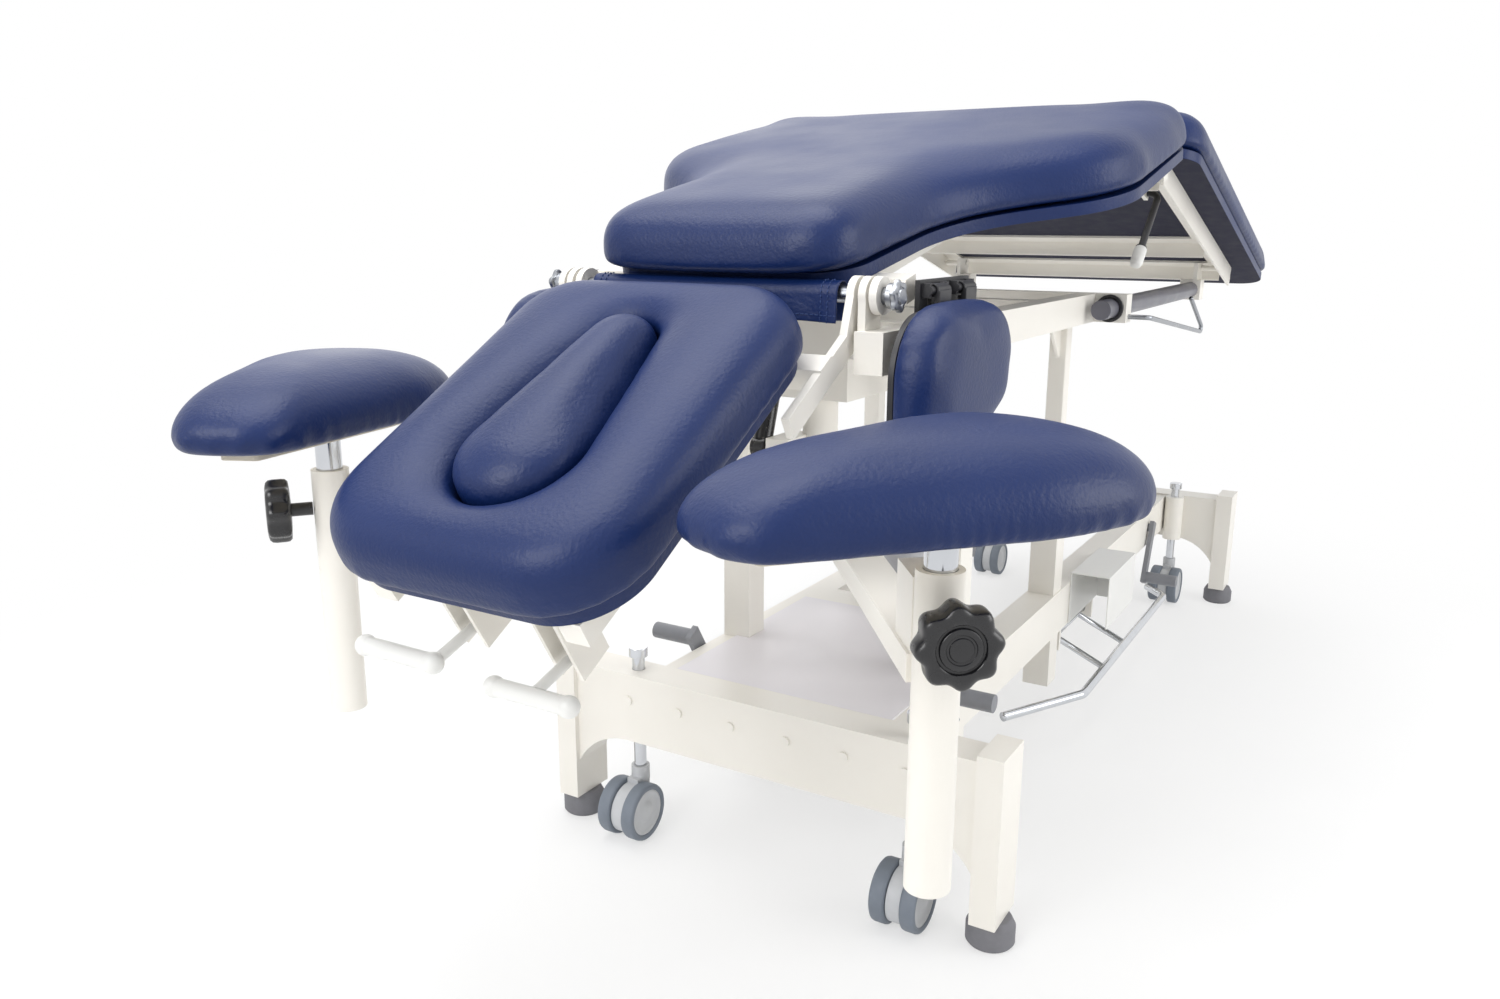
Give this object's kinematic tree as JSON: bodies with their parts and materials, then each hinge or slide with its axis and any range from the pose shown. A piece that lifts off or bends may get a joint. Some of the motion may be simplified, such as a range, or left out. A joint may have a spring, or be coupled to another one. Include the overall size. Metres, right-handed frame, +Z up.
{
  "type": "massage table",
  "caption": "Padded electric treatment couch with tilting head, raised break, swivel armrests, drop-down wings and retractable casters on a cream frame.",
  "frame": {"origin": "floor level below the middle of the couch's outline", "axes": "+X runs from the head end to the foot end, +Y to the lying person's left when face up, +Z up"},
  "size_m": [1.9667, 0.9608, 0.9406],
  "materials": {
    "paint": "semi-gloss",
    "vinyl": "semi-matte grain",
    "panel": "satin",
    "rubber": "matte",
    "chrome": "polished",
    "black": "matte",
    "white": "satin",
    "board": "matte lining",
    "grey_steel": "satin",
    "tyre": "satin",
    "plug_grey": "satin",
    "bush": "satin",
    "beige": "satin",
    "bolt": "satin"
  },
  "bodies": {
    "base": {"rubber_feet": "rubber", "head_end_frame": "paint", "foot_end_frame": "paint", "side_rails": "paint", "base_cover_panel": "panel", "control_box": "white", "switch_covers": "white", "lift_actuator": "paint"},
    "upper": {"upper_frame": "paint", "guide_posts": "paint", "lift_rod": "chrome", "hinge_bar": "bolt", "hinge_cover": "vinyl", "armrest_carrier": "paint", "wing_brackets": "black", "slide_bushes": "bush", "stop_rods": "grey_steel"},
    "main_section": {"main_frame": "paint", "main_board": "board", "main_pad": "vinyl"},
    "foot_section": {"foot_frame": "beige", "foot_board": "board", "foot_pad": "vinyl"},
    "carriage": {"carriage_brackets": "paint", "slide_tubes": "grey_steel"},
    "spring_cylinder": {"gas_spring_body": "black"},
    "spring_rod": {"gas_spring_rod": "chrome"},
    "head_section": {"head_frame": "paint", "head_board": "board", "head_pad": "vinyl"},
    "plug": {"head_plug": "vinyl"},
    "lever_tee": {"head_lever_tee": "white"},
    "lever_ell": {"head_lever_ell": "white"},
    "break_lever": {"break_lever": "black"},
    "foot_bar_left": {"foot_bar_left": "chrome"},
    "foot_bar_right": {"foot_bar_right": "chrome"},
    "arm_rod_left": {"armrest_rod_left": "chrome"},
    "armrest_left": {"armrest_plate_left": "beige", "armrest_pad_left": "vinyl"},
    "arm_knob_left": {"armrest_knob_left": "black"},
    "wing_left": {"wing_board_left": "board", "wing_pad_left": "vinyl"},
    "arm_rod_right": {"armrest_rod_right": "chrome"},
    "armrest_right": {"armrest_plate_right": "beige", "armrest_pad_right": "vinyl"},
    "arm_knob_right": {"armrest_knob_right": "black"},
    "wing_right": {"wing_board_right": "board", "wing_pad_right": "vinyl"},
    "pedal_front": {"pedal_front": "plug_grey"},
    "stems_front": {"caster_stems_front": "chrome"},
    "fork_front_left": {"caster_fork_front_left": "plug_grey"},
    "wheels_front_left": {"caster_wheels_front_left": "tyre"},
    "fork_front_right": {"caster_fork_front_right": "plug_grey"},
    "wheels_front_right": {"caster_wheels_front_right": "tyre"},
    "pedal_rear": {"pedal_rear": "plug_grey"},
    "stems_rear": {"caster_stems_rear": "chrome"},
    "fork_rear_left": {"caster_fork_rear_left": "plug_grey"},
    "wheels_rear_left": {"caster_wheels_rear_left": "tyre"},
    "fork_rear_right": {"caster_fork_rear_right": "plug_grey"},
    "wheels_rear_right": {"caster_wheels_rear_right": "tyre"}
  },
  "joints": [
    {"name": "lift", "type": "slide", "parent": "base", "child": "upper", "axis": [0, 0, 1], "range_m": [-0.15, 0.15]},
    {"name": "main_tilt", "type": "hinge", "parent": "upper", "child": "main_section", "pos_m": [-0.5636, 0, 0.712], "axis": [0, -1, 0], "range_deg": [-12.6, 3]},
    {"name": "foot_fold", "type": "hinge", "parent": "main_section", "child": "foot_section", "pos_m": [0.14492, 0, 0.87037], "axis": [0, -1, 0], "range_deg": [-7, 28]},
    {"name": "carriage_pivot", "type": "hinge", "parent": "foot_section", "child": "carriage", "pos_m": [0.74077, 0, 0.69846], "axis": [0, -1, 0], "range_deg": [-15, 4]},
    {"name": "spring_pivot", "type": "hinge", "parent": "upper", "child": "spring_cylinder", "pos_m": [-0.37946, 0.052, 0.51453], "axis": [0, -1, 0], "range_deg": [-7, 2]},
    {"name": "spring_stroke", "type": "slide", "parent": "spring_cylinder", "child": "spring_rod", "axis": [0.3239, 0, 0.9461], "range_m": [-0.055, 0.014]},
    {"name": "head_tilt", "type": "hinge", "parent": "upper", "child": "head_section", "pos_m": [-0.5636, 0, 0.712], "axis": [0, 1, 0], "range_deg": [-40, 42]},
    {"name": "plug_lift", "type": "slide", "parent": "head_section", "child": "plug", "axis": [-0.5, 0, 0.866], "range_m": [0, 0.12]},
    {"name": "tee_squeeze", "type": "hinge", "parent": "head_section", "child": "lever_tee", "pos_m": [-0.83296, -0.039, 0.42254], "axis": [0, 1, 0], "range_deg": [0, 12]},
    {"name": "ell_squeeze", "type": "hinge", "parent": "head_section", "child": "lever_ell", "pos_m": [-0.86308, 0.04, 0.44672], "axis": [0, 1, 0], "range_deg": [0, 8]},
    {"name": "break_release", "type": "hinge", "parent": "foot_section", "child": "break_lever", "pos_m": [0.23547, -0.2, 0.82162], "axis": [0, 1, 0], "range_deg": [0, 15]},
    {"name": "armrest_height_left", "type": "slide", "parent": "upper", "child": "arm_rod_left", "axis": [0, 0, 1], "range_m": [-0.02, 0.06]},
    {"name": "armrest_swivel_left", "type": "hinge", "parent": "arm_rod_left", "child": "armrest_left", "pos_m": [-0.7786, 0.34, 0.56], "axis": [0, 0, 1], "range_deg": [-5, 20]},
    {"name": "knob_turn_left", "type": "hinge", "parent": "upper", "child": "arm_knob_left", "pos_m": [-0.7786, 0.34, 0.486], "axis": [-0.7992, 0.6011, 0], "range_deg": [0, 330]},
    {"name": "wing_flip_left", "type": "hinge", "parent": "upper", "child": "wing_left", "pos_m": [-0.4566, 0.212, 0.715], "axis": [1, 0, 0], "range_deg": [0, 90]},
    {"name": "foot_bar_rock_left", "type": "hinge", "parent": "base", "child": "foot_bar_left", "pos_m": [0.2514, 0.15, 0.125], "axis": [1, 0, 0], "range_deg": [-8, 8], "stiffness_Nm_per_rad": 80},
    {"name": "armrest_height_right", "type": "slide", "parent": "upper", "child": "arm_rod_right", "axis": [0, 0, 1], "range_m": [-0.02, 0.06]},
    {"name": "armrest_swivel_right", "type": "hinge", "parent": "arm_rod_right", "child": "armrest_right", "pos_m": [-0.7786, -0.34, 0.56], "axis": [0, 0, -1], "range_deg": [-5, 20]},
    {"name": "knob_turn_right", "type": "hinge", "parent": "upper", "child": "arm_knob_right", "pos_m": [-0.7786, -0.34, 0.486], "axis": [-0.7992, -0.6011, 0], "range_deg": [0, 330]},
    {"name": "wing_flip_right", "type": "hinge", "parent": "upper", "child": "wing_right", "pos_m": [-0.4566, -0.212, 0.715], "axis": [-1, 0, 0], "range_deg": [0, 90]},
    {"name": "foot_bar_rock_right", "type": "hinge", "parent": "base", "child": "foot_bar_right", "pos_m": [0.2514, -0.15, 0.125], "axis": [-1, 0, 0], "range_deg": [-8, 8], "stiffness_Nm_per_rad": 80},
    {"name": "pedal_press_front", "type": "hinge", "parent": "base", "child": "pedal_front", "pos_m": [-0.3086, 0, 0.185], "axis": [0, -1, 0], "range_deg": [0, 20]},
    {"name": "caster_drop_front", "type": "slide", "parent": "base", "child": "stems_front", "axis": [0, 0, -1], "range_m": [0, 0.012]},
    {"name": "caster_swivel_front_left", "type": "hinge", "parent": "stems_front", "child": "fork_front_left", "pos_m": [-0.4486, 0.192, 0.09], "axis": [0, 0, 1], "continuous": true},
    {"name": "wheel_spin_front_left", "type": "hinge", "parent": "fork_front_left", "child": "wheels_front_left", "pos_m": [-0.4706, 0.192, 0.0376], "axis": [0, 1, 0], "continuous": true},
    {"name": "caster_swivel_front_right", "type": "hinge", "parent": "stems_front", "child": "fork_front_right", "pos_m": [-0.4486, -0.192, 0.09], "axis": [0, 0, 1], "continuous": true},
    {"name": "wheel_spin_front_right", "type": "hinge", "parent": "fork_front_right", "child": "wheels_front_right", "pos_m": [-0.4706, -0.192, 0.0376], "axis": [0, 1, 0], "continuous": true},
    {"name": "pedal_press_rear", "type": "hinge", "parent": "base", "child": "pedal_rear", "pos_m": [0.7714, 0, 0.185], "axis": [0, -1, 0], "range_deg": [0, 20]},
    {"name": "caster_drop_rear", "type": "slide", "parent": "base", "child": "stems_rear", "axis": [0, 0, -1], "range_m": [0, 0.012]},
    {"name": "caster_swivel_rear_left", "type": "hinge", "parent": "stems_rear", "child": "fork_rear_left", "pos_m": [0.9114, 0.192, 0.09], "axis": [0, 0, 1], "continuous": true},
    {"name": "wheel_spin_rear_left", "type": "hinge", "parent": "fork_rear_left", "child": "wheels_rear_left", "pos_m": [0.8894, 0.192, 0.0376], "axis": [0, 1, 0], "continuous": true},
    {"name": "caster_swivel_rear_right", "type": "hinge", "parent": "stems_rear", "child": "fork_rear_right", "pos_m": [0.9114, -0.192, 0.09], "axis": [0, 0, 1], "continuous": true},
    {"name": "wheel_spin_rear_right", "type": "hinge", "parent": "fork_rear_right", "child": "wheels_rear_right", "pos_m": [0.8894, -0.192, 0.0376], "axis": [0, 1, 0], "continuous": true}
  ],
  "couplings": [
    {"joint": "foot_fold", "follows": "main_tilt", "ratio": -2.1746},
    {"joint": "carriage_pivot", "follows": "main_tilt", "ratio": 1.1746},
    {"joint": "spring_pivot", "follows": "main_tilt", "ratio": 0.5},
    {"joint": "spring_stroke", "follows": "main_tilt", "m_per_rad": 0.243},
    {"joint": "pedal_press_front", "follows": "caster_drop_front", "rad_per_m": 29},
    {"joint": "pedal_press_rear", "follows": "caster_drop_rear", "rad_per_m": 29}
  ]
}
